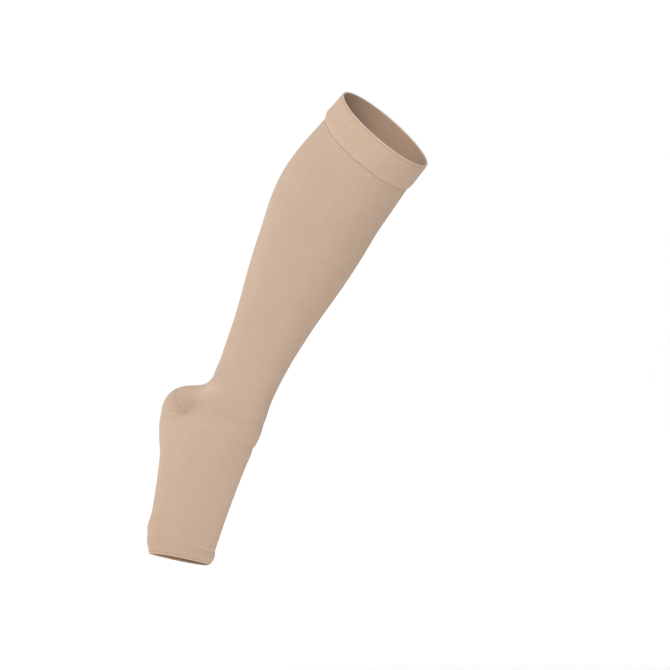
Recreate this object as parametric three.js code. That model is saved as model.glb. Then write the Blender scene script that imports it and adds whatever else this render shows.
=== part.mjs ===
// A knee-high compression stocking with an open toe, holding the form it has when worn: the foot pointed, the leg
// leaning. It is built upright first (+Z up the shin, -Y to the front of the leg, -X to its outer side), then leaned
// over as a whole. Millimetres. The origin is the centre of the opening below the knee.
import * as THREE from "three";

const rad = THREE.MathUtils.degToRad;

/** Rows of a table as objects, by the names of its columns. */
const table = (columns, rows) =>
  rows.map((row) =>
    Object.fromEntries(row.map((value, i) => [columns[i], value])),
  );

// One row for each section of the limb, from the opening to the toes. down and back place the section's centre below
// and behind the opening's. tilt lifts the section's front and side drops its outer side, in degrees. wide is the full
// width, front and rear are the reach from the centre. egg narrows the front against the rear, square is the
// exponent of the outline (2 is an ellipse) and turn swings the front to the outer side, in degrees.
const SECTIONS = table(
  // prettier-ignore
  ["down", "back", "tilt", "side", "wide", "front", "rear", "egg", "square", "turn"],
  [
    [0, 0, -9, -5, 110, 56, 64, 0.02, 2.0, 0],
    [34, 5, -10, -4, 112, 55, 67, 0.04, 2.0, 0],
    [70, 12, -7, -2, 117, 57, 71, 0.05, 2.0, 0],
    [100, 16, -3, 0, 118, 58, 72, 0.06, 2.0, 0],
    [130, 14, -1, 0, 116, 55, 71, 0.06, 2.0, 0],
    [165, 9, 0, 0, 109, 49, 67, 0.06, 2.0, 0],
    [200, 5, 0, 0, 98, 43, 63, 0.05, 2.0, 0],
    [240, 2, 0, 0, 82, 40, 53, 0.05, 2.0, 0],
    [280, 0, 1, 0, 68, 40, 44, 0.03, 2.0, 0],
    [305, 0, 5, 0, 63, 43, 37, 0.0, 2.1, 0],
    [324, 1, 9, 0, 62, 48, 29, 0.0, 2.1, 0],
    [340, 3, 13, 0, 61, 56, 25, -0.02, 2.1, 0],
    [350, 5, 16, 0, 65, 60, 53, -0.02, 2.2, 0],
    [362, 6, 19, 0, 71, 61, 85, 0.0, 2.3, 2],
    [382, 0, 28, 0, 78, 62, 87, 0.04, 2.5, 4],
    [410, -12, 29, 0, 82, 51, 64, 0.06, 2.6, 6],
    [440, -26, 29, 0, 84, 36, 46, 0.08, 2.6, 7],
    [475, -42, 28, 0, 85, 22, 30, 0.1, 2.6, 5],
    [503, -55, 29, 0, 83, 18, 23, 0.1, 2.6, 3],
    [520.5, -63.5, 32, 3, 78, 16, 18, 0.1, 2.6, 2],
  ],
);

// The largest folds: along and round are the middle, in mm from the opening and in degrees from the front toward the
// outer side. length and breadth are half sizes in mm, slant turns the fold, height is out of the cloth.
const FOLDS = table(
  ["along", "round", "length", "breadth", "slant", "height"],
  [
    [387, -46, 30, 12, -6, 1.1],
    [404, -44, 26, 4.5, -6, -1.0],
    [380, 30, 26, 7, 12, 0.5],
    [336, 150, 24, 5, 6, -0.6],
    [339, -152, 24, 5, -6, -0.6],
    [376, 92, 11, 9, 0, -1.0],
    [376, -92, 11, 9, 0, -1.0],
  ],
);

// How far the top band's outer face stands off the leg's line: proud all round, and rolled more behind than in front,
// where the welt's lower edge lies flat.
const TOP_ROLL = table(
  ["along", "proud", "rolled"],
  [
    [0, 1.3, 0],
    [1.6, 2.3, 0],
    [12, 2.5, 0],
    [22, 2.2, 0.9],
    [27, 2.0, 1.5],
    [30.5, 1.6, 1.1],
    [33.7, 0.7, 0.3],
  ],
);
const FLATTEST = -50; // where the roll is none, in degrees from the front
const TOE_ROLL = table(
  ["along", "proud"],
  [
    [0, 0.5],
    [2, 1.0],
    [8, 1.1],
    [13, 0.7],
    [16.4, -0.2],
  ],
);

const WALL = 1.2; // single knit
const WELT = 2.2; // top band, two layers
const TOE_WELT = 1.7;
const SEAM = 0.3; // clear between neighbours
const TOP_BAND = 34;
const TOE_BAND = 17;

// The columns of the mesh on one side, in degrees from the front, closer where the heel's gore lines meet.
// prettier-ignore
const HALF_ROUND = [
  0, 10, 20, 30, 40, 50, 60, 70, 79, 86, 88, 91, 96, 103, 112, 122, 132, 142, 152, 161, 170, 180,
];
const ANGLES = [
  ...HALF_ROUND,
  ...HALF_ROUND.slice(1, -1)
    .reverse()
    .map((a) => 360 - a),
].map(rad);

// The heel pocket: where its two gore lines meet on each side, and how far they part at the back.
const HEEL = {
  apex: 86, // degrees from the front
  ends: 88,
  along: 378,
  up: 35,
  upSteep: 9,
  down: 28,
  downSteep: 2.1,
};

/** A natural cubic through (x, y), the curve that a bent spline takes. */
function naturalCubic(x, y) {
  const n = x.length;
  const step = (i) => x[i + 1] - x[i];
  const second = new Array(n).fill(0);
  const carry = new Array(n).fill(0);
  for (let i = 1; i < n - 1; i++) {
    const share = step(i - 1) / (step(i - 1) + step(i));
    const p = share * second[i - 1] + 2;
    second[i] = (share - 1) / p;
    const bend = (y[i + 1] - y[i]) / step(i) - (y[i] - y[i - 1]) / step(i - 1);
    carry[i] = ((6 * bend) / (step(i - 1) + step(i)) - share * carry[i - 1]) / p;
  }
  for (let i = n - 2; i >= 0; i--)
    second[i] = second[i] * second[i + 1] + carry[i];
  return (t) => {
    let i = 0;
    while (i < n - 2 && t > x[i + 1]) i++;
    const h = step(i);
    const a = (x[i + 1] - t) / h;
    const b = (t - x[i]) / h;
    return (
      a * y[i] +
      b * y[i + 1] +
      (((a ** 3 - a) * second[i] + (b ** 3 - b) * second[i + 1]) * h * h) / 6
    );
  };
}

const stations = [0];
SECTIONS.slice(1).forEach((row, i) =>
  stations.push(
    stations[i] +
      Math.hypot(row.down - SECTIONS[i].down, row.back - SECTIONS[i].back),
  ),
);
const END = stations.at(-1);
const along = Object.fromEntries(
  Object.keys(SECTIONS[0]).map((name) => [
    name,
    naturalCubic(
      stations,
      SECTIONS.map((row) => row[name]),
    ),
  ]),
);

/** How far the folds lift the cloth at s along the limb and phi round it. */
function foldHeight(s, phi) {
  const girth = along.wide(s) / 2;
  return FOLDS.reduce((sum, f) => {
    let turn = phi - rad(f.round);
    turn -= 2 * Math.PI * Math.round(turn / (2 * Math.PI));
    const across = turn * girth;
    const c = Math.cos(rad(f.slant));
    const n = Math.sin(rad(f.slant));
    const u = (across * c + (s - f.along) * n) / f.length;
    const v = ((s - f.along) * c - across * n) / f.breadth;
    return sum + f.height * Math.exp(-(u * u) - v * v);
  }, 0);
}

/** A point of the limb's line, before folds: s from the opening, phi from the front toward the outer side. */
function skin(s, phi) {
  const c = Math.cos(phi);
  const n = Math.sin(phi);
  const e = along.square(s);
  const round = (Math.abs(c) ** e + Math.abs(n) ** e) ** (-1 / e);
  const fore = (c > 0 ? along.front(s) : along.rear(s)) * c * round;
  const out = (along.wide(s) / 2) * n * round * (1 - along.egg(s) * c);
  const turn = rad(along.turn(s));
  const toFront = fore * Math.cos(turn) - out * Math.sin(turn);
  const toSide = fore * Math.sin(turn) + out * Math.cos(turn);
  const tilt = rad(along.tilt(s));
  return new THREE.Vector3(
    -toSide,
    along.back(s) - toFront * Math.cos(tilt),
    -along.down(s) +
      toFront * Math.sin(tilt) -
      toSide * Math.sin(rad(along.side(s))),
  );
}

/** The directions on the cloth: along the limb, round it, and out of it. */
function frameAt(s, phi) {
  const h = 0.05;
  const lo = Math.max(s - h, 0);
  const hi = Math.min(s + h, END);
  const down = skin(hi, phi)
    .sub(skin(lo, phi))
    .divideScalar(hi - lo);
  const round = skin(s, phi + 0.001)
    .sub(skin(s, phi - 0.001))
    .divideScalar(0.002);
  const out = new THREE.Vector3().crossVectors(round, down).normalize();
  const centre = new THREE.Vector3(0, along.back(s), -along.down(s));
  if (out.dot(skin(s, phi).sub(centre)) < 0) out.negate();
  return { down, round, out };
}

/** The cloth's point at (s, phi), moved out of it by lift. */
function cloth(s, phi, lift) {
  return skin(s, phi).addScaledVector(
    frameAt(s, phi).out,
    lift + foldHeight(s, phi),
  );
}

/** Closed triangles from a grid of points that is open, or closed, each way. */
class Grid {
  constructor(columns, closedColumns) {
    this.columns = columns;
    this.closed = closedColumns;
    this.points = [];
    this.faces = [];
  }
  /** A row of points, one for each column. */
  row(at) {
    const start = this.points.length;
    for (let j = 0; j < this.columns; j++) this.points.push(at(j));
    return start;
  }
  /** Quads between two rows, split along their shorter diagonal. */
  join(a, b) {
    const last = this.closed ? this.columns : this.columns - 1;
    for (let j = 0; j < last; j++) {
      const k = (j + 1) % this.columns;
      this.quad(a + j, a + k, b + k, b + j);
    }
  }
  quad(p, q, r, t) {
    const [P, Q, R, T] = [p, q, r, t].map((i) => this.points[i]);
    if (P.distanceTo(R) < Q.distanceTo(T))
      this.faces.push(p, q, r, p, r, t);
    else this.faces.push(p, q, t, q, r, t);
  }
  geometry() {
    const g = new THREE.BufferGeometry();
    g.setAttribute(
      "position",
      new THREE.Float32BufferAttribute(
        this.points.flatMap((p) => p.toArray()),
        3,
      ),
    );
    g.setIndex(this.faces);
    g.computeVertexNormals();
    return g;
  }
}

const always = (value) => () => value;

/** A tube: rows of {s, lift, inner} from its first edge to its last, each a function of the column's angle. */
function tube(rows) {
  const g = new Grid(ANGLES.length, true);
  const layer = (r, lift) =>
    g.row((j) => cloth(r.s(ANGLES[j]), ANGLES[j], lift(ANGLES[j])));
  const outer = rows.map((r) => layer(r, r.lift));
  const inner = rows.map((r) => layer(r, r.inner));
  for (let i = 0; i + 1 < rows.length; i++) {
    g.join(outer[i], outer[i + 1]);
    g.join(inner[i + 1], inner[i]);
  }
  g.join(inner[0], outer[0]);
  g.join(outer.at(-1), inner.at(-1));
  return g.geometry();
}

/** The share of the heel's opening at phi, 0 at the apex and 1 at the back, rising with the steepness. */
function gore(phi, steep) {
  const turned = Math.abs(
    phi - 2 * Math.PI * Math.round(phi / (2 * Math.PI)),
  );
  const t = (turned - rad(HEEL.apex)) / (Math.PI - rad(HEEL.apex));
  return t <= 0 ? 0 : 1 - (1 - t) ** steep;
}
const goreTop = (phi) => HEEL.along - HEEL.up * gore(phi, HEEL.upSteep);
const goreLow = (phi) => HEEL.along + HEEL.down * gore(phi, HEEL.downSteep);

/** s moved off an edge line by gap mm of cloth, measured square to the line. */
function clearOf(line, gap) {
  return (phi) => {
    const s = line(phi);
    const { down, round } = frameAt(s, phi);
    const slope = (line(phi + 0.002) - line(phi - 0.002)) / 0.004;
    const edge = round.clone().addScaledVector(down, slope);
    const share = down.clone().cross(edge).length() / edge.length();
    return s + gap / Math.max(share, 0.12);
  };
}

/** Rows at even steps from one edge line to another. */
function between(from, to, count, lift = 0, wall = WALL) {
  return Array.from({ length: count + 1 }, (_, i) => ({
    s: (phi) => from(phi) + ((to(phi) - from(phi)) * i) / count,
    lift: always(lift),
    inner: always(lift - wall),
  }));
}
const toeSeam = END - TOE_BAND;

/** The share of the welt's roll at phi, from none at its flattest to all of it opposite. */
const rollShare = (phi) => (1 - Math.cos(phi - rad(FLATTEST))) / 2;

function topBand() {
  return tube(
    TOP_ROLL.map(({ along: s, proud, rolled }, i) => {
      const lift = (phi) => proud + rolled * rollShare(phi);
      const edge = i === 0 ? 0.7 : 0;
      return { s: always(s), lift, inner: (phi) => lift(phi) - WELT + edge };
    }),
  );
}

function leg() {
  const top = always(TOP_BAND + SEAM / 2);
  return tube([
    ...between(top, always(318), 28).slice(0, -1),
    ...between(always(318), clearOf(goreTop, -SEAM / 2), 7),
  ]);
}

function foot() {
  return tube([
    ...between(clearOf(goreLow, SEAM / 2), always(424), 6).slice(0, -1),
    ...between(always(424), always(toeSeam - SEAM / 2), 10),
  ]);
}

function toeBand() {
  return tube(
    TOE_ROLL.map(({ along: s, proud }, i) => {
      const edge = i === TOE_ROLL.length - 1 ? 0.9 : 0;
      return {
        s: always(toeSeam + SEAM / 2 + s),
        lift: always(proud),
        inner: always(proud - TOE_WELT + edge),
      };
    }),
  );
}

/** The pocket between the two gore lines, from one apex round the back to the other. */
function heel() {
  const rows = 10;
  const ends = rad(HEEL.ends) - 1e-6;
  const angles = ANGLES.filter((a) => a > ends && a < 2 * Math.PI - ends);
  const columns = angles.length;
  const top = clearOf(goreTop, SEAM / 2);
  const low = clearOf(goreLow, -SEAM / 2);
  const g = new Grid(columns, false);
  const layer = (lift) =>
    Array.from({ length: rows + 1 }, (_, i) =>
      g.row((j) => {
        const phi = angles[j];
        return cloth(
          top(phi) + ((low(phi) - top(phi)) * i) / rows,
          phi,
          lift,
        );
      }),
    );
  const outer = layer(0);
  const inner = layer(-WALL);
  for (let i = 0; i < rows; i++) {
    g.join(outer[i], outer[i + 1]);
    g.join(inner[i + 1], inner[i]);
    const last = columns - 1;
    g.quad(outer[i], outer[i + 1], inner[i + 1], inner[i]);
    // prettier-ignore
    g.quad(outer[i + 1] + last, outer[i] + last, inner[i] + last, inner[i + 1] + last);
  }
  g.join(inner[0], outer[0]);
  g.join(outer[rows], inner[rows]);
  return g.geometry();
}

/** A named piece of the stocking in its own knit. */
function piece(name, geometry, colour, roughness) {
  const mesh = new THREE.Mesh(
    geometry,
    new THREE.MeshStandardMaterial({ color: colour, roughness, metalness: 0 }),
  );
  mesh.name = name;
  return mesh;
}

const stocking = new THREE.Group();
stocking.add(
  piece("top_band", topBand(), "#cfb19a", 0.85),
  piece("leg", leg(), "#ccb09c", 0.9),
  piece("heel", heel(), "#c9ac97", 0.9),
  piece("foot", foot(), "#ccb09c", 0.9),
  piece("toe_band", toeBand(), "#cbab96", 0.88),
);
// Turned outward by 38, the knee end nodded to the front by 9, then leaned over by 30 degrees.
stocking.rotation.set(rad(9), rad(30), rad(38), "YXZ");

const part = new THREE.Group();
part.add(stocking);
export default part;
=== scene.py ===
"""A knee-high, open-toe compression stocking in the form it has when worn, on a plain pale floor.

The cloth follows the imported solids: one table of sections gives the limb's line, and each piece of knit is
a thin wall swept along it. Sizes in the tables are millimetres and degrees; meshes are made in metres, in
the frame of the CAD.
"""

import logging
import math
from collections.abc import Sequence
from dataclasses import dataclass
from enum import Enum

import bpy
import numpy as np
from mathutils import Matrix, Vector


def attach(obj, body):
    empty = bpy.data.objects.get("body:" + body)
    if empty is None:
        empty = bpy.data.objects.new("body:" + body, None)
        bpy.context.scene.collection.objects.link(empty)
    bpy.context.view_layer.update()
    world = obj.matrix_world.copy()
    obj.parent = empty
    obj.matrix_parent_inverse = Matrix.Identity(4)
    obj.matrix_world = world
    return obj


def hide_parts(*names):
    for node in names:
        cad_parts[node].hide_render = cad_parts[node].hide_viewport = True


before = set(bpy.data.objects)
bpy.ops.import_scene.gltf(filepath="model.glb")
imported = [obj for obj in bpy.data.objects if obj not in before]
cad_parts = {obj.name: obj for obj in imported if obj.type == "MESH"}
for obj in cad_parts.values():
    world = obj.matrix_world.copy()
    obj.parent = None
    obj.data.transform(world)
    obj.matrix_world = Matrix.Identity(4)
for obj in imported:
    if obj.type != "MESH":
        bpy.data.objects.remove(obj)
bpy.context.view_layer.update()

log = logging.getLogger("stocking")
MM = 0.001
TURN = 2 * math.pi


class Slot(Enum):
    """The record's material slots."""

    FINE = "fine_knit"
    BAND = "band_knit"


class Side(Enum):
    """The sides of the leg, as the sign of the angle round it."""

    OUTER = 1
    INNER = -1


# The limb's line


@dataclass(frozen=True)
class Section:
    """One section of the limb: its place, tilt and outline, as in the part's own table."""

    down: float
    back: float
    tilt: float
    side: float
    wide: float
    front: float
    rear: float
    egg: float
    square: float
    turn: float


SECTIONS = [
    Section(0, 0, -9, -5, 110, 56, 64, 0.02, 2.0, 0),
    Section(34, 5, -10, -4, 112, 55, 67, 0.04, 2.0, 0),
    Section(70, 12, -7, -2, 117, 57, 71, 0.05, 2.0, 0),
    Section(100, 16, -3, 0, 118, 58, 72, 0.06, 2.0, 0),
    Section(130, 14, -1, 0, 116, 55, 71, 0.06, 2.0, 0),
    Section(165, 9, 0, 0, 109, 49, 67, 0.06, 2.0, 0),
    Section(200, 5, 0, 0, 98, 43, 63, 0.05, 2.0, 0),
    Section(240, 2, 0, 0, 82, 40, 53, 0.05, 2.0, 0),
    Section(280, 0, 1, 0, 68, 40, 44, 0.03, 2.0, 0),
    Section(305, 0, 5, 0, 63, 43, 37, 0, 2.1, 0),
    Section(324, 1, 9, 0, 62, 48, 29, 0, 2.1, 0),
    Section(340, 3, 13, 0, 61, 56, 25, -0.02, 2.1, 0),
    Section(350, 5, 16, 0, 65, 60, 53, -0.02, 2.2, 0),
    Section(362, 6, 19, 0, 71, 61, 85, 0, 2.3, 2),
    Section(382, 0, 28, 0, 78, 62, 87, 0.04, 2.5, 4),
    Section(410, -12, 29, 0, 82, 51, 64, 0.06, 2.6, 6),
    Section(440, -26, 29, 0, 84, 36, 46, 0.08, 2.6, 7),
    Section(475, -42, 28, 0, 85, 22, 30, 0.1, 2.6, 5),
    Section(503, -55, 29, 0, 83, 18, 23, 0.1, 2.6, 3),
    Section(520.5, -63.5, 32, 3, 78, 16, 18, 0.1, 2.6, 2),
]


@dataclass(frozen=True)
class Fold:
    """A soft trough or ridge: its middle, half sizes in mm, slant in degrees and height in mm."""

    along: float
    around: float
    length: float
    breadth: float
    slant: float
    height: float


# The largest folds, which the solids have too.
FOLDS = [
    Fold(387, -46, 30, 12, -6, 1.1),
    Fold(404, -44, 26, 4.5, -6, -1.0),
    Fold(380, 30, 26, 7, 12, 0.5),
    Fold(336, 150, 24, 5, 6, -0.6),
    Fold(339, -152, 24, 5, -6, -0.6),
    Fold(376, 92, 11, 9, 0, -1.0),
    Fold(376, -92, 11, 9, 0, -1.0),
]

# Broad, low swells and hollows where the stretched cloth fills out or draws in.
SWELLS = [
    Fold(170, 115, 26, 40, 0, -1.1),
    Fold(292, -44, 42, 42, 0, 1.7),
    Fold(258, -44, 40, 18, 0, 0.5),
    Fold(332, -39, 42, 17, 0, 0.9),
    Fold(367, -41, 44, 12.5, 0, 2.1),
    Fold(316, 124, 22, 12, 0, -1.8),
    Fold(338, 124, 16, 7, 0, 2.0),
    Fold(357, 146, 22, 7, 0, 1.4),
    Fold(381, 143, 20, 6, 0, -0.7),
    Fold(410, 138, 24, 12, 0, 0.8),
    Fold(510.5, 121, 20, 10, 0, 2.2),
    Fold(535, 119, 24, 7, 0, -2.4),
    Fold(527, -72, 20, 7, 0, 1.3),
]

# Finer creases, on the hidden sides too.
CREASES = [
    Fold(345, 168, 20, 2.4, 4, 0.25),
    Fold(349, 176, 24, 2.2, -3, -0.25),
    Fold(334, -170, 22, 2.8, -5, 0.2),
    Fold(400.5, -47, 9, 1.6, -4, 0.35),
    Fold(404, -47, 10, 1.6, -4, -0.3),
    Fold(368, -12, 16, 3.0, 7, -0.12),
    Fold(379, 44, 14, 2.8, 16, -0.12),
    Fold(411, -34, 20, 3.6, -6, 0.15),
    Fold(407.5, 44, 28, 2.4, 0, -0.16),
    Fold(371, -66, 18, 3.0, -20, -0.25),
    Fold(387, -78, 20, 3.4, -14, 0.25),
    Fold(395, -120, 24, 3.6, 8, -0.25),
    Fold(425, 176, 24, 4.0, 6, -0.25),
    Fold(434, -172, 22, 4.0, -5, 0.25),
    Fold(508, -30, 16, 2.6, 10, 0.12),
    Fold(512, 14, 14, 2.4, -8, -0.1),
    Fold(42, 60, 46, 5.0, 3, 0.2),
    Fold(41, -120, 50, 5.0, -2, 0.25),
    Fold(47, 170, 40, 4.0, 4, -0.2),
]

WALL = 1.2
TOP_BAND = 34.0
TOE_BAND = 17.0
# The seam between two pieces of knit.
SEAM = 0.1
# How much painted shade darkens the inner face of the cloth, inside the hollow.
INNER_PAINTED_SHADE = 0.3
# Waves of the cloth's unevenness: turns round the limb, length in mm and phase; SWING is their largest sum.
WAVES = [(2, 190, 0.3), (3, 118, 1.9), (5, 71, 4.1), (1, 143, 2.2), (4, 52, 5.0)]
SWING = 1.9


class NaturalCubic:
    """The curve that a bent spline takes through its points."""

    def __init__(self, x: np.ndarray, y: np.ndarray) -> None:
        """Solves the curve's bend at each point.

        Args:
            x: stations, rising.
            y: the value at each.
        """
        n = len(x)
        h = np.diff(x)
        system = np.eye(n)
        right = np.zeros(n)
        for i in range(1, n - 1):
            system[i, i - 1 : i + 2] = h[i - 1], 2 * (h[i - 1] + h[i]), h[i]
            right[i] = 6 * ((y[i + 1] - y[i]) / h[i] - (y[i] - y[i - 1]) / h[i - 1])
        self.x, self.y, self.bend = x, y, np.linalg.solve(system, right)

    def __call__(self, t: np.ndarray) -> np.ndarray:
        """The curve's value.

        Args:
            t: where along the stations.

        Returns:
            The value at each t.
        """
        i = np.clip(np.searchsorted(self.x, t, side="right") - 1, 0, len(self.x) - 2)
        h = self.x[i + 1] - self.x[i]
        a = (self.x[i + 1] - t) / h
        b = (t - self.x[i]) / h
        bend = (a**3 - a) * self.bend[i] + (b**3 - b) * self.bend[i + 1]
        return a * self.y[i] + b * self.y[i + 1] + bend * h * h / 6


def soft_noise(a: np.ndarray, b: np.ndarray, seed: float) -> np.ndarray:
    """A smooth, uneven rise and fall from a few crossing waves.

    Args:
        a: first coordinate, in radians round the limb.
        b: second coordinate, in mm along it.
        seed: shifts the waves.

    Returns:
        Values from about -1 to 1.
    """
    total = np.zeros(np.broadcast(a, b).shape)
    for k, (turns, length, phase) in enumerate(WAVES):
        wave = np.sin(turns * a + phase + seed) * np.sin(TURN * b / length + phase * 1.7 + seed * (k + 1))
        total += wave / (1 + 0.5 * k)
    return total / SWING


def unwound(angle: np.ndarray, whole: float = TURN) -> np.ndarray:
    """An angle brought to within half a turn of nought, where whole is a full turn."""
    return angle - whole * np.round(angle / whole)


def bell(distance: np.ndarray, half: float) -> np.ndarray:
    """A soft bump over a distance: 1 in the middle and almost nought two half widths away."""
    return np.exp(-((distance / half) ** 2))


def facing(phi: np.ndarray, degrees: float) -> np.ndarray:
    """How far places round the limb face an angle from the front: 1 there and 0 opposite."""
    return (1 + np.cos(phi - math.radians(degrees))) / 2


def unit(vectors: np.ndarray) -> np.ndarray:
    """Vectors brought to a length of one."""
    return vectors / np.linalg.norm(vectors, axis=-1, keepdims=True)


@dataclass(frozen=True)
class Pose:
    """How the limb leans to the side, nods and turns round its own axis, in degrees."""

    lean: float = 30.0
    nod: float = 9.0
    turn: float = 38.0

    def matrix(self) -> np.ndarray:
        """The rotation from the limb's own frame to the CAD's.

        Returns:
            A matrix of three by three.
        """
        lean, nod, turn = (math.radians(v) for v in (self.lean, self.nod, self.turn))
        about_y = [[math.cos(lean), 0, math.sin(lean)], [0, 1, 0], [-math.sin(lean), 0, math.cos(lean)]]
        about_x = [[1, 0, 0], [0, math.cos(nod), -math.sin(nod)], [0, math.sin(nod), math.cos(nod)]]
        about_z = [[math.cos(turn), -math.sin(turn), 0], [math.sin(turn), math.cos(turn), 0], [0, 0, 1]]
        return np.array(about_y) @ np.array(about_x) @ np.array(about_z)


class Limb:
    """The worn form as a surface over s, mm along the limb, and phi, the angle from front to outer side."""

    def __init__(self, sections: Sequence[Section]) -> None:
        """Threads a curve through each column of the table.

        Args:
            sections: the rows, from the opening to the toes.
        """
        down = np.array([r.down for r in sections], float)
        back = np.array([r.back for r in sections], float)
        self.stations = np.concatenate([[0.0], np.cumsum(np.hypot(np.diff(down), np.diff(back)))])
        self.end = float(self.stations[-1])
        self.curves = {
            name: NaturalCubic(self.stations, np.array([getattr(r, name) for r in sections], float))
            for name in Section.__dataclass_fields__
        }
        self.pose = Pose().matrix()

    def at(self, name: str, s: np.ndarray) -> np.ndarray:
        """The table's column at s."""
        return self.curves[name](s)

    def skin(self, s: np.ndarray, phi: np.ndarray) -> np.ndarray:
        """The limb's line before it is leaned over.

        Args:
            s: mm along the limb.
            phi: radians round it from the front.

        Returns:
            Points in mm, one for each s and phi.
        """
        c, n = np.cos(phi), np.sin(phi)
        e = self.at("square", s)
        even = (np.abs(c) ** e + np.abs(n) ** e) ** (-1 / e)
        fore = np.where(c > 0, self.at("front", s), self.at("rear", s)) * c * even
        out = self.at("wide", s) / 2 * n * even * (1 - self.at("egg", s) * c)
        turn, tilt, side = (np.radians(self.at(k, s)) for k in ("turn", "tilt", "side"))
        to_front = fore * np.cos(turn) - out * np.sin(turn)
        to_side = fore * np.sin(turn) + out * np.cos(turn)
        x = -to_side
        y = self.at("back", s) - to_front * np.cos(tilt)
        z = -self.at("down", s) + to_front * np.sin(tilt) - to_side * np.sin(side)
        return np.stack([x, y, z], -1)

    def outward(self, s: np.ndarray, phi: np.ndarray) -> np.ndarray:
        """The way out of the limb's line.

        Args:
            s, phi: the place on the limb.

        Returns:
            Unit normals of the skin.
        """
        step, angle = 0.05, 0.001
        low, high = np.maximum(s - step, 0), np.minimum(s + step, self.end)
        along = self.skin(high, phi) - self.skin(low, phi)
        around = self.skin(s, phi + angle) - self.skin(s, phi - angle)
        n = unit(np.cross(around, along))
        centre = np.stack([np.zeros_like(s), self.at("back", s), -self.at("down", s)], -1)
        return n * np.sign(((self.skin(s, phi) - centre) * n).sum(-1, keepdims=True))

    def folded(self, s: np.ndarray, phi: np.ndarray, folds: Sequence[Fold]) -> np.ndarray:
        """How far the folds lift the cloth.

        Args:
            s, phi: the place on the limb.
            folds: the troughs and ridges.

        Returns:
            The lift in mm.
        """
        half = self.at("wide", s) / 2
        total = np.zeros(np.broadcast(s, phi).shape)
        for f in folds:
            across = unwound(phi - math.radians(f.around)) * half
            c, n = math.cos(math.radians(f.slant)), math.sin(math.radians(f.slant))
            u = (across * c + (s - f.along) * n) / f.length
            v = ((s - f.along) * c - across * n) / f.breadth
            total = total + f.height * np.exp(-(u**2) - v**2)
        return total

    def cloth(self, s: np.ndarray, phi: np.ndarray, lift: np.ndarray) -> np.ndarray:
        """The cloth in the CAD's frame.

        Args:
            s, phi: the place on the limb.
            lift: mm out of the limb's line, beyond the large folds.

        Returns:
            Points in metres.
        """
        s, phi, lift = np.broadcast_arrays(s, phi, lift)
        raised = lift + self.folded(s, phi, FOLDS) + self.folded(s, phi, SWELLS)
        points = self.skin(s, phi) + self.outward(s, phi) * raised[..., None]
        return points @ self.pose.T * MM


LIMB = Limb(SECTIONS)


# The heel pocket


@dataclass(frozen=True)
class Wrinkles:
    """A fan of fine wrinkles round a knot, with reaches in mm and angles in radians."""

    reach: float = 13.0
    start: float = 2.0
    middle: float = 0.1
    spread: float = 1.3
    least: float = 0.3
    coarse: float = 11.0
    coarse_share: float = 0.6
    fine: float = 19.0
    fine_phase: float = 1.3
    sway: float = 0.6
    sway_rate: float = 0.35

    def at(self, x: np.ndarray, y: np.ndarray) -> np.ndarray:
        """The wrinkles' height beside their knot.

        Args:
            x: mm toward the back.
            y: mm toward the toes.

        Returns:
            Values from -1 to 1.
        """
        r = np.hypot(x, y)
        angle = np.arctan2(y, x)
        fan = self.least + (1 - self.least) * bell(angle - self.middle, self.spread)
        reach = bell(r, self.reach) * (1 - bell(r, self.start))
        coarse = np.sin(angle * self.coarse + np.sin(r * self.sway_rate) * self.sway)
        fine = np.sin(angle * self.fine + self.fine_phase)
        return (coarse * self.coarse_share + fine * (1 - self.coarse_share)) * fan * reach


@dataclass(frozen=True)
class Patch:
    """A soft patch of tone: its middle in mm toward the back and the toes, its half sizes and strength."""

    back: float
    along: float
    breadth: float
    length: float
    strength: float

    def at(self, x: np.ndarray, y: np.ndarray) -> np.ndarray:
        """The patch's strength at x mm toward the back and y mm toward the toes."""
        return self.strength * bell(x - self.back, self.breadth) * bell(y - self.along, self.length)


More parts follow.
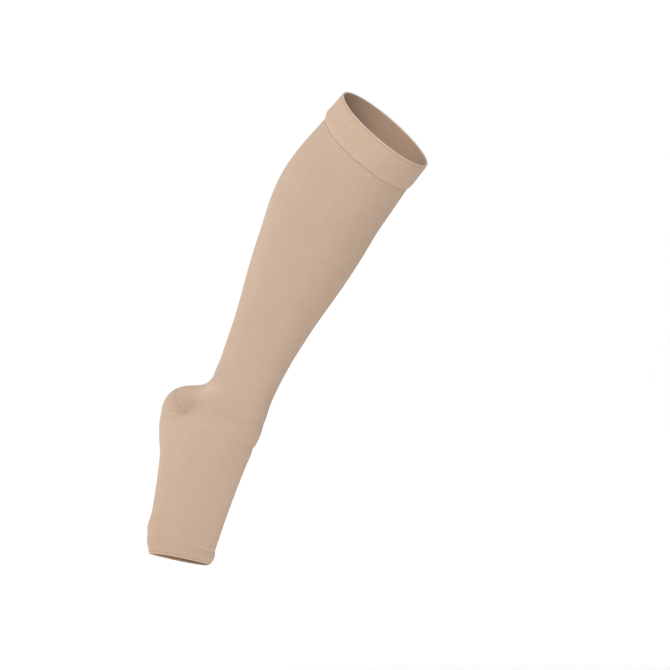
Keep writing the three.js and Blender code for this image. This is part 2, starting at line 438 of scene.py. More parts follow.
@dataclass(frozen=True)
class Heel:
    """Where the heel's gore lines meet on each side, and how its pocket opens to the back."""

    apex: float = 86.0
    along: float = 378.0
    up: float = 35.0
    up_steep: float = 9.0
    down: float = 28.0
    down_steep: float = 2.1
    # How softly the pocket's edge fades, in mm.
    edge: float = 0.625
    # How much farther it is round the section than round a circle of its half width.
    fuller: float = 1.1
    # The gore's stitched line: angle from the front and mm along the limb.
    mitre: tuple[tuple[float, float], ...] = (
        (97, 380.4), (103, 377.5), (108.3, 374.6), (114, 371), (120, 367), (129.5, 362.8), (150, 358.5),
    )
    mitre_points: int = 60
    mitre_half: float = 0.9
    mitre_fade: float = 8.0
    # Where the wrinkles meet: angle from the front and mm along the limb.
    knot: tuple[float, float] = (97, 380.3)
    wrinkles: Wrinkles = Wrinkles()
    # Painted shade at the knot, above and beside it, and at the tick at the gore line's upper end.
    shades: tuple[Patch, ...] = (
        Patch(-0.6, -0.4, 2.9, 2.3, 0.72),
        Patch(-3.2, -9, 9, 9, 0.58),
        Patch(10.8, -12, 13, 11, 0.32),
        Patch(19, -17.6, 2.2, 1.2, 0.5),
    )
    # The hollow above the heel: angle from the front and mm along the limb.
    hollow: tuple[float, float] = (92, 348)
    # thin is a painted highlight over that hollow: a pale patch that stands in for light wrapping round the
    # heel from behind.
    thin: Patch = Patch(0, 0, 11, 13, 0.5)

    def opened(self, phi: np.ndarray, steep: float) -> np.ndarray:
        """The share of the pocket's opening at phi, 0 at the apex and 1 at the back."""
        t = (np.abs(unwound(phi)) - math.radians(self.apex)) / (math.pi - math.radians(self.apex))
        return 1 - (1 - np.clip(t, 0, 1)) ** steep

    def inside(self, s: np.ndarray, phi: np.ndarray) -> np.ndarray:
        """A mask of the heel's pocket.

        Args:
            s, phi: the place on the limb.

        Returns:
            1 inside, fading softly at the edges.
        """
        top = self.along - self.up * self.opened(phi, self.up_steep)
        low = self.along + self.down * self.opened(phi, self.down_steep)
        depth = np.minimum(s - top, low - s)
        return 1 / (1 + np.exp(-depth / self.edge))

    def near(
        self, s: np.ndarray, phi: np.ndarray, side: Side, place: tuple[float, float]
    ) -> tuple[np.ndarray, np.ndarray]:
        """How far points lie from a place on one side: mm toward the back and mm toward the toes."""
        turned = unwound(phi * side.value - math.radians(place[0]))
        return turned * LIMB.at("wide", s) / 2 * self.fuller, s - place[1]

    def pulled(self, s: np.ndarray, phi: np.ndarray) -> np.ndarray:
        """Fine tension wrinkles that run out of each knot, from -1 to 1."""
        return sum(self.wrinkles.at(*self.near(s, phi, side, self.knot)) for side in Side)

    def gore(self, s: np.ndarray, phi: np.ndarray) -> np.ndarray:
        """The gore's linked line on both sides, as a mask.

        Args:
            s, phi: the place on the limb.

        Returns:
            1 on the line and about 0 two millimetres away.
        """
        line = smooth_line(self.mitre, self.mitre_points)
        nowhere = -99.0
        total = np.zeros(np.broadcast(s, phi).shape)
        for side in Side:
            turned = unwound(np.degrees(phi * side.value), 360)
            at = np.interp(turned, line[:, 0], line[:, 1], left=nowhere, right=nowhere)
            fade = np.clip((turned - line[0, 0]) / self.mitre_fade, 0, 1)
            total = total + bell(s - at, self.mitre_half) * fade
        return total

    def hollow_highlight(self, s: np.ndarray, phi: np.ndarray) -> np.ndarray:
        """A painted highlight over the hollow above the heel, as a mask on both sides."""
        return sum(self.thin.at(*self.near(s, phi, side, self.hollow)) for side in Side)

    def shaded(self, s: np.ndarray, phi: np.ndarray) -> np.ndarray:
        """Painted shade round the knots and where the gore lines turn over the heel."""
        return sum(shade.at(*self.near(s, phi, side, self.knot)) for side in Side for shade in self.shades)


HEEL = Heel()


# Meshes


class KnitMesh:
    """Collects the vertices, faces and masks of one piece and makes its object."""

    def __init__(self, name: str) -> None:
        """Starts an empty mesh.

        Args:
            name: the piece's name.
        """
        self.name = name
        self.points: list[np.ndarray] = []
        self.count = 0
        self.faces: list[np.ndarray] = []
        self.uvs: list[np.ndarray] = []
        self.masks: dict[str, list[np.ndarray]] = {}

    def rows(self, points: np.ndarray, **masks: np.ndarray) -> np.ndarray:
        """Adds a grid of points.

        Args:
            points: array of rows by columns by 3, in metres.
            **masks: named arrays of rows by columns, kept as attributes.

        Returns:
            The points' indices, rows by columns.
        """
        shape = points.shape[:2]
        index = np.arange(self.count, self.count + shape[0] * shape[1]).reshape(shape)
        self.points.append(points.reshape(-1, 3))
        self.count += index.size
        for name, values in masks.items():
            self.masks.setdefault(name, []).append(np.broadcast_to(values, shape).reshape(-1))
        return index

    def join(self, index: np.ndarray, u: np.ndarray, v: np.ndarray, flip: bool = False) -> None:
        """Quads between neighbouring rows and columns, whose last column joins the first.

        Args:
            index: the points' indices, rows by columns.
            u: knit coordinate of each column, with one more at the end where the rows close.
            v: knit coordinate of each row and column.
            flip: turns the faces round.
        """
        index = np.concatenate([index, index[:, :1]], axis=1)
        v = np.concatenate([v, v[:, :1]], axis=1)
        u = np.broadcast_to(u, index.shape)
        corners = [(0, 0), (0, 1), (1, 1), (1, 0)]
        if flip:
            corners = corners[::-1]
        height, width = index.shape
        picked = [(slice(a, height - 1 + a), slice(b, width - 1 + b)) for a, b in corners]
        self.faces.append(np.stack([index[p] for p in picked], -1).reshape(-1, 4))
        self.uvs.append(np.stack([np.stack([u[p], v[p]], -1) for p in picked], -2).reshape(-1, 2))

    def build(self, material: bpy.types.Material, slot: Slot) -> bpy.types.Object:
        """Makes the object.

        Args:
            material: its knit.
            slot: the record's slot; not used.

        Returns:
            The object, riding on the root body.
        """
        mesh = bpy.data.meshes.new(self.name)
        points = np.concatenate(self.points)
        faces = np.concatenate(self.faces).astype(np.int32)
        mesh.vertices.add(len(points))
        mesh.vertices.foreach_set("co", points.astype(np.float32).ravel())
        mesh.loops.add(faces.size)
        mesh.loops.foreach_set("vertex_index", faces.ravel())
        mesh.polygons.add(len(faces))
        mesh.polygons.foreach_set("loop_start", np.arange(0, faces.size, 4, dtype=np.int32))
        mesh.polygons.foreach_set("loop_total", np.full(len(faces), 4, np.int32))
        mesh.update(calc_edges=True)
        layer = mesh.uv_layers.new(name="knit")
        layer.data.foreach_set("uv", np.concatenate(self.uvs).astype(np.float32).ravel())
        for name, values in self.masks.items():
            attribute = mesh.attributes.new(name, "FLOAT", "POINT")
            attribute.data.foreach_set("value", np.concatenate(values).astype(np.float32))
        mesh.validate()
        mesh.polygons.foreach_set("use_smooth", np.ones(len(mesh.polygons), bool))
        mesh.materials.append(material)
        piece = bpy.data.objects.new(self.name, mesh)
        bpy.context.scene.collection.objects.link(piece)
        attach(piece, "root")
        log.info("%s: %d faces", self.name, len(mesh.polygons))
        return piece


def spread(stops: Sequence[tuple[float, float]]) -> np.ndarray:
    """Stations whose spacing changes along the way.

    Args:
        stops: pairs of where a stretch starts and the spacing from there on; the last is the end.

    Returns:
        The stations.
    """
    parts = []
    for (a, step), (b, _) in zip(stops[:-1], stops[1:]):
        parts.append(np.linspace(a, b, max(int(round((b - a) / step)), 1), endpoint=False))
    return np.concatenate([*parts, [stops[-1][0]]])


def smooth_line(points: Sequence[tuple[float, ...]], count: int) -> np.ndarray:
    """A rounded line through points, evenly spaced by its first two columns.

    Args:
        points: corners of the line, with any further columns carried along.
        count: how many points to give back.

    Returns:
        Array with count rows.
    """
    corners = np.array(points, float)
    steps = np.linalg.norm(np.diff(corners[:, :2], axis=0), axis=1)
    station = np.concatenate([[0], np.cumsum(steps)])
    t = np.linspace(0, station[-1], count)
    slope = np.gradient(corners, station, axis=0)
    i = np.clip(np.searchsorted(station, t, side="right") - 1, 0, len(station) - 2)
    h = (station[i + 1] - station[i])[:, None]
    k = ((t - station[i]) / h[:, 0])[:, None]
    return (
        (2 * k**3 - 3 * k**2 + 1) * corners[i]
        + (k**3 - 2 * k**2 + k) * h * slope[i]
        + (-2 * k**3 + 3 * k**2) * corners[i + 1]
        + (k**3 - k**2) * h * slope[i + 1]
    )


# Finishes


@dataclass(frozen=True)
class KnitFinish:
    """One kind of knit: its colours, loops and nap, and how much each unevenness changes its tone."""

    name: str
    tone: tuple[float, float, float]
    # shade is a darker tone of the yarn and also the colour of painted shade; light is a paler tone and also
    # the colour of painted highlights.
    shade: tuple[float, float, float]
    light: tuple[float, float, float]
    wales: float = 300.0
    courses: float = 1050.0
    rib: float = 0.0
    relief: float = 0.35
    # How far the loops and the nap stand up, in metres.
    depth: float = 0.00022
    roughness: float = 0.82
    shine: float = 0.12
    nap: float = 0.16
    nap_roughness: float = 0.38
    nap_tint: tuple[float, float, float, float] = (1.0, 0.86, 0.74, 1.0)
    cool: tuple[float, float, float] = (0.992, 1.003, 1.0)
    warm: tuple[float, float, float] = (1.008, 0.994, 0.988)
    clouds: float = 0.1
    streaks: float = 0.05
    gap_painted_shade: float = 0.12
    gap_roughness: float = 0.08
    flecks: float = 0.084
    nap_flecks: float = 0.12
    grain: float = 0.6


FINE_KNIT = KnitFinish(
    "fine_knit",
    tone=(0.604, 0.435, 0.321), shade=(0.47, 0.315, 0.22), light=(0.70, 0.55, 0.45),
)
WELT_KNIT = KnitFinish(
    "welt_knit",
    tone=(0.632, 0.454, 0.335), shade=(0.47, 0.315, 0.22), light=(0.80, 0.64, 0.52),
    rib=0.3,
)
TOE_KNIT = KnitFinish(
    "toe_knit",
    tone=(0.588, 0.418, 0.306), shade=(0.45, 0.3, 0.21), light=(0.80, 0.64, 0.52),
    rib=0.3,
)
SEAM_YARN = KnitFinish(
    "seam_yarn",
    tone=(0.52, 0.36, 0.265), shade=(0.40, 0.26, 0.18), light=(0.66, 0.5, 0.4),
    wales=60.0,
    courses=400.0,
    relief=0.2,
)
TOE_SEAM_YARN = KnitFinish(
    "toe_seam_yarn",
    tone=(0.68, 0.51, 0.405), shade=(0.56, 0.4, 0.3), light=(0.78, 0.62, 0.51),
    wales=60.0,
    courses=400.0,
    relief=0.2,
)


class Nodes:
    """A short way to add and link shader nodes in a tree."""

    def __init__(self, tree: bpy.types.NodeTree) -> None:
        """Clears the tree that the nodes go into."""
        self.tree = tree
        self.tree.nodes.clear()

    def add(self, kind: str, **values: object) -> bpy.types.Node:
        """A node with its properties set.

        Args:
            kind: the node's type.
            **values: its properties.

        Returns:
            The node.
        """
        node = self.tree.nodes.new(kind)
        for key, value in values.items():
            setattr(node, key, value)
        return node

    def fill(self, node: bpy.types.Node, values: dict[str | int, object]) -> bpy.types.Node:
        """Links or sets a node's inputs.

        Args:
            node: the node.
            values: each input's name or number, with the socket to link or the value to set.

        Returns:
            The node.
        """
        for key, value in values.items():
            if isinstance(value, bpy.types.NodeSocket):
                self.tree.links.new(value, node.inputs[key])
            else:
                node.inputs[key].default_value = value
        return node

    def math(self, operation: str, *inputs: object) -> bpy.types.NodeSocket:
        """The result of a math node for its inputs in order, sockets or numbers."""
        node = self.add("ShaderNodeMath", operation=operation)
        return self.fill(node, dict(enumerate(inputs))).outputs[0]

    def mix(self, share: object, a: object, b: object) -> bpy.types.NodeSocket:
        """A colour between two: a where the share is 0 and b where it is 1."""
        node = self.add("ShaderNodeMix", data_type="RGBA")
        return self.fill(node, {0: share, 6: a, 7: b}).outputs[2]

    def ramp(self, value: object, low: float, high: float) -> bpy.types.NodeSocket:
        """A value stretched so that low becomes 0 and high becomes 1, eased at both ends."""
        node = self.add("ShaderNodeMapRange", interpolation_type="SMOOTHSTEP")
        return self.fill(node, {"Value": value, "From Min": low, "From Max": high}).outputs["Result"]

    def noise(self, vector: object, scale: float, detail: float) -> bpy.types.NodeSocket:
        """A noise texture's value, round 0.5."""
        node = self.add("ShaderNodeTexNoise")
        return self.fill(node, {"Vector": vector, "Scale": scale, "Detail": detail}).outputs["Fac"]


def new_group(name: str, inputs: dict[str, str], outputs: dict[str, str]) -> bpy.types.NodeTree:
    """An empty shader group with named sockets.

    Args:
        name: the group's name.
        inputs: socket names and their types.
        outputs: socket names and their types.

    Returns:
        The group's tree.
    """
    tree = bpy.data.node_groups.new(name, "ShaderNodeTree")
    for direction, sockets in (("INPUT", inputs), ("OUTPUT", outputs)):
        for socket, kind in sockets.items():
            tree.interface.new_socket(socket, in_out=direction, socket_type=kind)
    return tree


FLOAT, VECTOR = "NodeSocketFloat", "NodeSocketVector"
WHITE = (1.0, 1.0, 1.0, 1.0)


def knit_loops_group() -> bpy.types.NodeTree:
    """The rows of small V-shaped loops of a plain knit, from its own coordinates.

    Returns:
        A group that gives the loops' height and how deep between them a point lies.
    """
    tree = new_group(
        "knit_loops",
        {"Knit": VECTOR, "Wales": FLOAT, "Courses": FLOAT, "Rib": FLOAT},
        {"Height": FLOAT, "Gap": FLOAT},
    )
    n = Nodes(tree)
    given = n.add("NodeGroupInput")
    split = n.fill(n.add("ShaderNodeSeparateXYZ"), {0: given.outputs["Knit"]})
    wale = n.math("MULTIPLY", split.outputs["X"], given.outputs["Wales"])
    course = n.math("MULTIPLY", split.outputs["Y"], given.outputs["Courses"])
    across = n.math("ABSOLUTE", n.math("SUBTRACT", n.math("FRACT", wale), 0.5))
    slant, crest, roundness, beat_share, crown_share, courses_a_rib = 1.3, 0.24, 5.5, 0.3, 0.55, 3
    arms = n.math("MULTIPLY", across, slant)
    beat = n.math("SINE", n.math("MULTIPLY", n.math("ADD", course, arms), TURN))
    crown = n.math("COSINE", n.math("MULTIPLY", n.math("SUBTRACT", across, crest), roundness))
    loops = n.math("MULTIPLY_ADD", beat, beat_share, n.math("MULTIPLY", crown, crown_share))
    band = n.math("SINE", n.math("MULTIPLY", course, TURN / courses_a_rib))
    height = n.math("MULTIPLY_ADD", n.math("MULTIPLY", band, 0.5), given.outputs["Rib"], loops)
    gap = n.ramp(height, 0.35, -0.5)
    n.fill(n.add("NodeGroupOutput"), {"Height": height, "Gap": gap})
    return tree


def yarn_tone_group() -> bpy.types.NodeTree:
    """The uneven tone of dyed elastic yarn: soft clouds, a blush, streaks along the wales, a fine grain.

    Returns:
        A group that gives them as values round 0.5.
    """
    tree = new_group(
        "yarn_tone",
        {"Place": VECTOR, "Knit": VECTOR},
        {"Clouds": FLOAT, "Blush": FLOAT, "Streaks": FLOAT, "Grain": FLOAT},
    )
    n = Nodes(tree)
    given = n.add("NodeGroupInput")
    clouds = n.noise(given.outputs["Place"], scale=34.0, detail=3.0)
    blush = n.noise(given.outputs["Place"], scale=130.0, detail=2.0)
    drawn = n.add("ShaderNodeMapping")
    n.fill(drawn, {"Vector": given.outputs["Knit"], "Scale": (150.0, 26.0, 1.0)})
    streaks = n.noise(drawn.outputs[0], scale=1.0, detail=2.0)
    grain = n.noise(given.outputs["Place"], scale=360.0, detail=3.0)
    tones = {"Clouds": clouds, "Blush": blush, "Streaks": streaks, "Grain": grain}
    n.fill(n.add("NodeGroupOutput"), tones)
    return tree


class Wardrobe:
    """Makes the knits' materials from shared groups."""

    def __init__(self) -> None:
        """Builds the shared groups."""
        self.loops = knit_loops_group()
        self.tone = yarn_tone_group()

    def knit(self, finish: KnitFinish) -> bpy.types.Material:
        """The material of a finish.

        Args:
            finish: the kind of knit.

        Returns:
            The material.
        """
        material = bpy.data.materials.new(finish.name)
        material.use_nodes = True
        n = Nodes(material.node_tree)
        knit = n.add("ShaderNodeUVMap", uv_map="knit").outputs["UV"]
        place = n.add("ShaderNodeTexCoord").outputs["Object"]

        counts = {"Wales": finish.wales, "Courses": finish.courses, "Rib": finish.rib}
        loops = n.fill(n.add("ShaderNodeGroup", node_tree=self.loops), {"Knit": knit, **counts})
        tone = n.fill(n.add("ShaderNodeGroup", node_tree=self.tone), {"Place": place, "Knit": knit})

        # The mesh's masks: painted shade together with the heel's darker knit, and painted highlights
        # together with the pale wales.
        worn = n.add("ShaderNodeAttribute", attribute_name="pinch").outputs["Fac"]
        rim = n.add("ShaderNodeAttribute", attribute_name="rim").outputs["Fac"]
        dark, pale = (*finish.shade, 1.0), (*finish.light, 1.0)
        cool, warm = ((*(a * b for a, b in zip(finish.tone, c)), 1.0) for c in (finish.cool, finish.warm))
        colour = n.mix(n.ramp(tone.outputs["Blush"], 0.38, 0.62), cool, warm)
        # Each unevenness: where it is, how much it changes the tone, and toward which colour. The gaps
        # between the loops get painted shade; the rest is the yarn's own uneven tone.
        for mask, share, toward in (
            (n.ramp(tone.outputs["Clouds"], 0.35, 0.7), finish.clouds, dark),
            (n.ramp(tone.outputs["Streaks"], 0.42, 0.72), finish.streaks, pale),
            (loops.outputs["Gap"], finish.gap_painted_shade, dark),
            (n.ramp(tone.outputs["Grain"], 0.55, 0.3), finish.flecks, dark),
            (n.ramp(tone.outputs["Grain"], 0.45, 0.7), finish.nap_flecks, pale),
        ):
            colour = n.mix(n.math("MULTIPLY", mask, share), colour, toward)
        pinched = n.mix(worn, colour, dark)
        with_painted_highlight = n.mix(rim, pinched, pale)

        height = n.math("MULTIPLY_ADD", tone.outputs["Grain"], finish.grain, loops.outputs["Height"])
        bump = n.add("ShaderNodeBump")
        n.fill(bump, {"Strength": finish.relief, "Distance": finish.depth, "Height": height})
        rough = n.math("MULTIPLY_ADD", loops.outputs["Gap"], finish.gap_roughness, finish.roughness)

        shader = n.add("ShaderNodeBsdfPrincipled")
        looks = {
            "Base Color": with_painted_highlight,
            "Roughness": rough,
            "Normal": bump.outputs["Normal"],
            "Specular IOR Level": finish.shine,
            "Sheen Weight": finish.nap,
            "Sheen Roughness": finish.nap_roughness,
            "Sheen Tint": finish.nap_tint,
        }
        n.fill(shader, looks)
        n.fill(n.add("ShaderNodeOutputMaterial"), {"Surface": shader.outputs["BSDF"]})
        return material


# The stocking's pieces


@dataclass
class KnitTube:
    """The leg, heel pocket and foot: one continuous knit from the top band's seam to the toe band's."""

    wardrobe: Wardrobe
    start: float = TOP_BAND + SEAM
    end: float = LIMB.end - TOE_BAND
    columns: int = 240
    # Where the rows of loops are spaced anew: mm from the start and the spacing from there on.
    rows: tuple[tuple[float, float], ...] = (
        (0.0, 0.5), (3.0, 2.2), (296.0, 1.3), (300.0, 1.05), (376.0, 1.9), (470.0, 1.1), (482.0, 0.55),
    )
    # The inner face takes every fifth row, and is lifted by no more than this.
    coarser: int = 5
    inner_lift: float = 0.3
    # Heights in mm: the tuck under the top band, wrinkles, gore line, hem, linked line and unevenness.
    tuck: float = 0.22
    wrinkle: float = 0.45
    groove: float = 0.25
    hem: float = 0.15
    ridge: float = 0.4
    unevenness: float = 0.22
    # Half widths in mm of the tuck, the hem and the linked line.
    tuck_half: float = 0.9
    hem_half: float = 1.2
    linked_half: float = 0.8
    # How far from each band the cloth is calmer, in mm, and its share of the unevenness there.
    calm_top: tuple[float, float] = (40.0, 0.3)
    calm_toe: tuple[float, float] = (30.0, 0.2)
    wave_seed: float = 0.4
    # How much darker the heel's knit is, and how strong the painted shade in the wrinkles' troughs and along
    # the gore line is.
    heel_tone: float = 0.08
    wrinkle_tone: float = 0.85
    gore_tone: float = 0.3
    # Where the linked line is fullest, in degrees from the front, and its least strength.
    linked_place: float = -60.16
    linked_least: float = 0.25
    # The pale wales above the toe band: degrees from the front, mm along the limb, strength, half sizes.
    wales: tuple[float, ...] = (27.2, 31.0, 35.0)
    wale_along: float = 510.0
    wale_strength: float = 0.16
    wale_breadth: float = 0.8
    wale_length: float = 5.0
    foot_radius: float = 40.0

    def relief(self, s: np.ndarray, phi: np.ndarray) -> np.ndarray:
        """How far the worn cloth stands off the limb's line beyond its largest folds.

        Args:
            s, phi: the place on the limb.

        Returns:
            The lift in mm.
        """
        calm = np.clip((s - TOP_BAND) / self.calm_top[0], self.calm_top[1], 1)
        calm = calm * np.clip((self.end - s) / self.calm_toe[0], self.calm_toe[1], 1)
        lift = LIMB.folded(s, phi, CREASES) + self.unevenness * calm * soft_noise(phi, s, self.wave_seed)
        lift = lift + self.wrinkle * HEEL.pulled(s, phi) - self.groove * HEEL.gore(s, phi)
        lift = lift - self.tuck * bell(s - self.start, self.tuck_half)
        lift = lift + self.hem * bell(self.end - s, self.hem_half)
        return lift + self.ridge * self.linked(s, phi) ** 2

    def linked(self, s: np.ndarray, phi: np.ndarray) -> np.ndarray:
        """The raised line where the toe band is linked on, as a mask that is fullest on the inner side: it
        lifts the ridge and paints a highlight along it.
        """
        strength = self.linked_least + (1 - self.linked_least) * facing(phi, self.linked_place)
        return strength * bell(s - (self.end - self.linked_half), self.linked_half)

    def marks(self, s: np.ndarray, phi: np.ndarray) -> np.ndarray:
        """Three short pale wales above the toe band.

        Args:
            s, phi: the place on the limb.

        Returns:
            A mask.
        """
        total = np.zeros(np.broadcast(s, phi).shape)
        ends = np.exp(-(((s - self.wale_along) / self.wale_length) ** 4))
        for angle in self.wales:
            across = (phi - math.radians(angle)) * self.foot_radius
            total = total + self.wale_strength * bell(across, self.wale_breadth) * ends
        return total

    def dress(self) -> None:
        """Builds the tube."""
        stations = self.start + spread([*self.rows, (self.end - SEAM - self.start, 1)])
        phi = np.linspace(0, TURN, self.columns, endpoint=False)
        u = np.linspace(0, 1, self.columns + 1)
        s, p = np.meshgrid(stations, phi, indexing="ij")
        lift = self.relief(s, p)
        # Painted shade in the wrinkles' troughs, round the knots and along the gore line, over the heel's
        # own darker knit.
        drawn = self.wrinkle_tone * np.clip(-HEEL.pulled(s, p), 0, 1) + HEEL.shaded(s, p)
        pinch = self.heel_tone * HEEL.inside(s, p) + drawn + self.gore_tone * HEEL.gore(s, p)
        # Pale wales, and painted highlights on the linked ridge and over the hollow above the heel.
        rim = self.marks(s, p) + self.linked(s, p) + HEEL.hollow_highlight(s, p)
        mesh = KnitMesh("leg_and_foot_knit")
        outer = mesh.rows(LIMB.cloth(s, p, lift), pinch=np.clip(pinch, 0, 1), rim=rim)
        last = len(stations) - 1
        coarse = np.unique(np.concatenate([[0], np.arange(2, last - 1, self.coarser), [last]]))
        inner_lift = np.minimum(lift[coarse], self.inner_lift) - WALL
        # The inner face gets painted shade.
        inner = mesh.rows(LIMB.cloth(s[coarse], p[coarse], inner_lift), pinch=INNER_PAINTED_SHADE, rim=0.0)
        v = s * MM
        mesh.join(outer, u, v)
        mesh.join(inner, u, v[coarse], flip=True)
        mesh.join(np.stack([inner[0], outer[0]]), u, v[:2])
        mesh.join(np.stack([outer[-1], inner[-1]]), u, v[-2:])
        piece = mesh.build(self.wardrobe.knit(FINE_KNIT), Slot.FINE)
        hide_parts("leg", "heel", "foot")


@dataclass
class Band:
    """A ring of double knit at an end of the tube, swept from its own profile."""

    wardrobe: Wardrobe
    name: str
    node: str
    finish: KnitFinish
    start: float
    # The wall's outline, down the outside and up the inside: mm from the start, mm off the limb's line all
    # round, and mm more where the welt rolls.
    outside: list[tuple[float, float, float]]
    inside: list[tuple[float, float, float]]
    flat: tuple[float, float]
    # Painted highlights round the band: mm from the start, half width, strength on the brightest side and
    # opposite.
    highlight_lines: list[tuple[float, float, float, float]]
    # A drawn-in line of stitches below the edge: mm from the start and depth.
    drawn: tuple[float, float]
    stitch_half: float = 0.7
    # How strong the painted shade along that drawn-in line is.
    stitch_tone: float = 0.6
    # Degrees from the front: where the painted highlights are brightest, and where the welt doesn't roll.
    brightest: float = -60.0
    flattest: float = -50.0
    unevenness: float = 0.12
    wave_seed: float = 2.6
    shorter_waves: float = 3.0
    columns: int = 300
    fine: int = 72

    def dress(self) -> None:
        """Builds the ring."""
        out = smooth_line(self.outside, self.fine)
        back = smooth_line(self.inside, self.fine // 2)
        loop = np.concatenate([out, back])
        phi = np.linspace(0, TURN, self.columns, endpoint=False)
        u = np.linspace(0, 1, self.columns + 1)
        s, p = np.meshgrid(self.start + loop[:, 0], phi, indexing="ij")
        at = s - self.start
        rolled = 1 - facing(p, self.flattest)
        stitched = bell(at - self.drawn[0], self.stitch_half)
        stitched[self.fine :] = 0
        lift = loop[:, 1:2] + loop[:, 2:3] * rolled - self.drawn[1] * stitched
        lift = lift + self.unevenness * soft_noise(p, s * self.shorter_waves, self.wave_seed)
        lit = facing(p, self.brightest)
        rim = sum(
            (near * lit + far * (1 - lit)) * bell(at - place, half) for place, half, near, far in self.highlight_lines
        )
        # Painted shade along the drawn-in line and over the inner face.
        pinch = self.stitch_tone * stitched
        pinch[self.fine + 1 :] = INNER_PAINTED_SHADE
        rim[self.fine + 2 : -2] = 0
        mesh = KnitMesh(self.name)
        index = mesh.rows(LIMB.cloth(s, p, lift), pinch=pinch, rim=np.clip(rim, 0, 1))
        mesh.join(np.concatenate([index, index[:1]]), u, np.concatenate([s, s[:1]]) * MM)
        piece = mesh.build(self.wardrobe.knit(self.finish), Slot.BAND)
        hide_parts(self.node)


@dataclass
class StitchedLine:
    """A fine line of linking stitches once round the limb: a thin yarn that goes from side to side."""

    wardrobe: Wardrobe
    name: str
    finish: KnitFinish
    # Its place, in mm along the limb, and how far it lies off the limb's line.
    along: float
    lift: float
    radius: float
    swing: float
    stitches: int
    points: int
    # How much higher the line lies opposite to its deepest place, which is in degrees from the front.
    eased: float = 0.0
    deepest: float = -25.0
    bob: float = 0.08
    sides: int = 6

    def dress(self) -> None:
        """Builds the line."""
        t = np.linspace(0, 1, self.points, endpoint=False)
        s, phi = np.full_like(t, self.along), t * TURN
        beat = TURN * self.stitches * t
        rise = self.lift + self.eased * (1 - facing(phi, self.deepest))
        centre = LIMB.cloth(s + self.swing * np.sin(beat), phi, rise + self.bob * np.cos(2 * beat))
        normal = unit(LIMB.cloth(s, phi, self.lift + 1) - LIMB.cloth(s, phi, self.lift))
        way = unit(np.roll(centre, -1, axis=0) - np.roll(centre, 1, axis=0))
        across = unit(np.cross(way, normal))
        normal = np.cross(across, way)
        turn = np.linspace(0, TURN, self.sides, endpoint=False)[None, :, None]
        ring = np.cos(turn) * normal[:, None] + np.sin(turn) * across[:, None]
        mesh = KnitMesh(self.name)
        index = mesh.rows(centre[:, None] + self.radius * MM * ring, pinch=0.0, rim=0.0)
        v = np.repeat(np.append(t, 1.0)[:, None], self.sides, axis=1)
        mesh.join(np.concatenate([index, index[:1]]), np.linspace(0, 1, self.sides + 1), v)
        mesh.build(self.wardrobe.knit(self.finish), Slot.BAND)


class Stocking:
    """The whole stocking, from the top band to the toe band."""

    def __init__(self, wardrobe: Wardrobe) -> None:
        """Keeps the wardrobe that the materials come from."""
        self.wardrobe = wardrobe

    def top_band(self) -> Band:
        """The folded welt below the knee, rolled at its lower edge."""
        return Band(
            self.wardrobe,
            "top_band_knit",
            "top_band",
            WELT_KNIT,
            start=0.0,
            outside=[
                (0.0, 1.1, 0), (0.2, 1.75, 0), (0.9, 2.2, 0), (3, 2.35, 0), (9, 2.5, 0), (15, 2.45, 0.3),
                (20, 2.3, 0.75), (24, 2.15, 1.25), (27, 2.0, 1.5), (29.4, 1.75, 1.35), (31.3, 1.4, 0.95),
                (32.7, 0.95, 0.5), (33.5, 0.45, 0.15), (33.85, -0.1, 0),
            ],
            inside=[
                (33.9, -0.9, 0), (32.5, -0.9, 0.2), (29, -0.5, 1.2), (26, -0.2, 1.4), (20, 0.1, 0.75),
                (10, 0.3, 0), (3, 0.1, 0), (0.8, 0.1, 0), (0.15, 0.5, 0),
            ],
            flat=(0.30, 0.035),
            highlight_lines=[(0.0, 0.75, 1.0, 1.0), (33.2, 1.3, 0.0, 0.6)],
            drawn=(2.3, 0.16),
        )

    def toe_band(self) -> Band:
        """The narrow band round the open toe."""
        return Band(
            self.wardrobe,
            "toe_band_knit",
            "toe_band",
            TOE_KNIT,
            start=LIMB.end - TOE_BAND,
            outside=[
                (0.0, 0.3, 0), (0.2, 0.6, 0), (0.9, 0.75, 0), (2.8, 0.85, 0), (5, 1.0, 0), (8, 1.1, 0),
                (12, 0.85, 0), (14.5, 0.5, 0), (16, 0.1, 0), (16.8, -0.4, 0), (17.0, -0.8, 0),
            ],
            inside=[
                (16.8, -1.3, 0), (16, -1.5, 0), (12, -0.9, 0), (6, -0.7, 0), (2, -0.9, 0), (0.1, -0.9, 0),
            ],
            flat=(0.17, 0.017),
            highlight_lines=[(17.0, 1.0, 0.4, 0.4)],
            drawn=(14.4, 0.1),
            columns=240,
        )

    def top_band_seam(self) -> StitchedLine:
        """The seam under the top band's roll."""
        return StitchedLine(
            self.wardrobe,
            "top_band_seam",
            SEAM_YARN,
            along=TOP_BAND + SEAM,
            lift=-0.25,
            radius=0.28,
            swing=0.12,
            stitches=190,
            points=1140,
            eased=0.6,
        )

    def toe_band_seam(self) -> StitchedLine:
        """The pale seam above the toe band."""
        return StitchedLine(
            self.wardrobe,
            "toe_band_seam",
            TOE_SEAM_YARN,
            along=LIMB.end - TOE_BAND - SEAM,
            lift=0.3,
            radius=0.42,
            swing=0.1,
            stitches=120,
            points=840,
        )

    def build(self) -> None:
        """Makes every piece in order."""
        KnitTube(self.wardrobe).dress()
        self.top_band().dress()
        self.toe_band().dress()
        self.top_band_seam().dress()
        self.toe_band_seam().dress()


# The studio


@dataclass(frozen=True)
class Lamp:
    """A soft square light aimed at the stocking's middle."""

    name: str
    place: tuple[float, float, float]
    size: float
    watts: float
    colour: tuple[float, float, float] = (1.0, 1.0, 1.0)


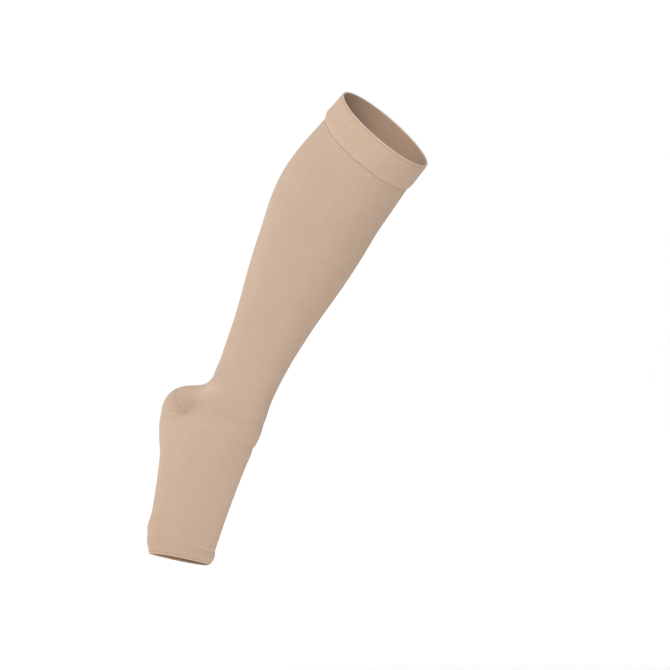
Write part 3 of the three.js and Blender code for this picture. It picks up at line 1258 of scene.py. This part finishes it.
@dataclass(frozen=True)
class Paper:
    """Pale paper with a painted glow in place of light, strongest toward the back and the left, with places
    in metres.
    """

    tone: float = 0.75
    glow: float = 0.57
    dimmest: float = 0.1
    # Where the glow starts and is full: from the front to the back, and from the right to the left along a
    # line that goes sideways by a share of the depth.
    deep: tuple[float, float] = (-0.5, 0.1)
    beside: tuple[float, float] = (1.0, 0.45)
    spreading: float = -0.113
    roughness: float = 0.9
    shine: float = 0.1

    def material(self) -> bpy.types.Material:
        """The paper's material.

        Returns:
            The material.
        """
        material = bpy.data.materials.new("pale_paper")
        material.use_nodes = True
        n = Nodes(material.node_tree)
        point = n.add("ShaderNodeTexCoord").outputs["Object"]
        place = n.fill(n.add("ShaderNodeSeparateXYZ"), {0: point})
        x, y = place.outputs["X"], place.outputs["Y"]
        deep = n.ramp(y, *self.deep)
        beside = n.ramp(n.math("MULTIPLY_ADD", y, self.spreading, x), *self.beside)
        dim = (self.dimmest, self.dimmest, self.dimmest, 1.0)
        shader = n.add("ShaderNodeBsdfPrincipled")
        looks = {
            "Base Color": (self.tone, self.tone, self.tone, 1.0),
            "Roughness": self.roughness,
            "Specular IOR Level": self.shine,
            "Emission Color": n.mix(n.math("MULTIPLY", deep, beside), dim, WHITE),
            "Emission Strength": self.glow,
        }
        n.fill(shader, looks)
        n.fill(n.add("ShaderNodeOutputMaterial"), {"Surface": shader.outputs["BSDF"]})
        return material


@dataclass(frozen=True)
class Studio:
    """The pale floor, the light and the camera of the photograph, with places in metres."""

    floor_height: float = -0.565
    # The floor's line from its middle outward: radius and height over the floor.
    floor_line: tuple[tuple[float, float], ...] = (
        (0.02, 0.0), (4.6, 0.0), (5.6, 0.12), (6.4, 0.6), (6.7, 1.4), (6.7, 4.6),
    )
    floor_rings: int = 60
    floor_spokes: int = 96
    paper: Paper = Paper()
    surround: float = 0.295
    # Where the lamps point.
    aim: tuple[float, float, float] = (-0.11, 0.03, -0.22)
    sensor: float = 36.0
    distance: float = 3.2
    elevation: float = 4.0
    mm_per_pixel: float = 1.08
    frame_pixels: int = 670
    origin_pixel: tuple[float, float] = (386.6, 130.6)
    lamps: tuple[Lamp, ...] = (
        Lamp("key", (-0.6, -2.6, 2.4), 2.2, 45.0),
        Lamp("front", (-0.4, -3.7, 0.7), 1.5, 38.5),
        Lamp("rim", (-2.6, 1.6, 0.8), 2.2, 33.0, (0.84, 0.96, 1.0)),
    )

    def middle(self) -> Vector:
        """The point that the camera looks at.

        Returns:
            Its place in metres.
        """
        e = math.radians(self.elevation)
        half = self.frame_pixels / 2
        right = (half - self.origin_pixel[0]) * self.mm_per_pixel * MM
        up = (self.origin_pixel[1] - half) * self.mm_per_pixel * MM
        return Vector((right, up * math.sin(e), up * math.cos(e)))

    def place_camera(self) -> None:
        """The camera, level with the photograph's."""
        e = math.radians(self.elevation)
        look = Vector((0, math.cos(e), -math.sin(e)))
        data = bpy.data.cameras.new("camera")
        data.sensor_width = self.sensor
        data.lens = self.sensor * self.distance / (self.frame_pixels * self.mm_per_pixel * MM)
        camera = bpy.data.objects.new("camera", data)
        camera.location = self.middle() - look * self.distance
        camera.rotation_euler = look.to_track_quat("-Z", "Y").to_euler()
        bpy.context.scene.collection.objects.link(camera)
        bpy.context.scene.camera = camera

    def place_lamps(self) -> None:
        """The soft lights and the pale surround."""
        for lamp in self.lamps:
            data = bpy.data.lights.new(lamp.name, "AREA")
            data.size = lamp.size
            data.energy = lamp.watts
            data.color = lamp.colour
            light = bpy.data.objects.new(lamp.name, data)
            light.location = lamp.place
            light.rotation_euler = (Vector(self.aim) - light.location).to_track_quat("-Z", "Y").to_euler()
            bpy.context.scene.collection.objects.link(light)
        world = bpy.data.worlds.new("surround")
        world.use_nodes = True
        background = world.node_tree.nodes["Background"]
        background.inputs["Color"].default_value = WHITE
        background.inputs["Strength"].default_value = self.surround
        bpy.context.scene.world = world

    def lay_floor(self) -> None:
        """A wide round floor that turns up softly into a wall on all sides."""
        line = smooth_line(self.floor_line, self.floor_rings)
        around = self.floor_spokes
        turn = np.linspace(0, TURN, around, endpoint=False)
        points = [(r * math.cos(t), r * math.sin(t), z + self.floor_height) for r, z in line for t in turn]
        faces = [
            (i + j, i + (j + 1) % around, i + around + (j + 1) % around, i + around + j)
            for i in range(0, (len(line) - 1) * around, around)
            for j in range(around)
        ]
        faces.append(tuple(range(around))[::-1])
        mesh = bpy.data.meshes.new("floor")
        mesh.from_pydata(points, [], faces)
        mesh.polygons.foreach_set("use_smooth", [True] * len(mesh.polygons))
        mesh.materials.append(self.paper.material())
        floor = bpy.data.objects.new("floor", mesh)
        bpy.context.scene.collection.objects.link(floor)

    def set_up(self) -> None:
        """Places everything round the stocking."""
        self.place_camera()
        self.place_lamps()
        self.lay_floor()
        bpy.context.scene.view_settings.view_transform = "Standard"
        bpy.context.scene.view_settings.look = "None"


def main() -> None:
    """Builds the stocking and the studio."""
    logging.basicConfig(level=logging.INFO, format="%(name)s: %(message)s")
    Stocking(Wardrobe()).build()
    Studio().set_up()


if __name__ == "__main__":
    main()
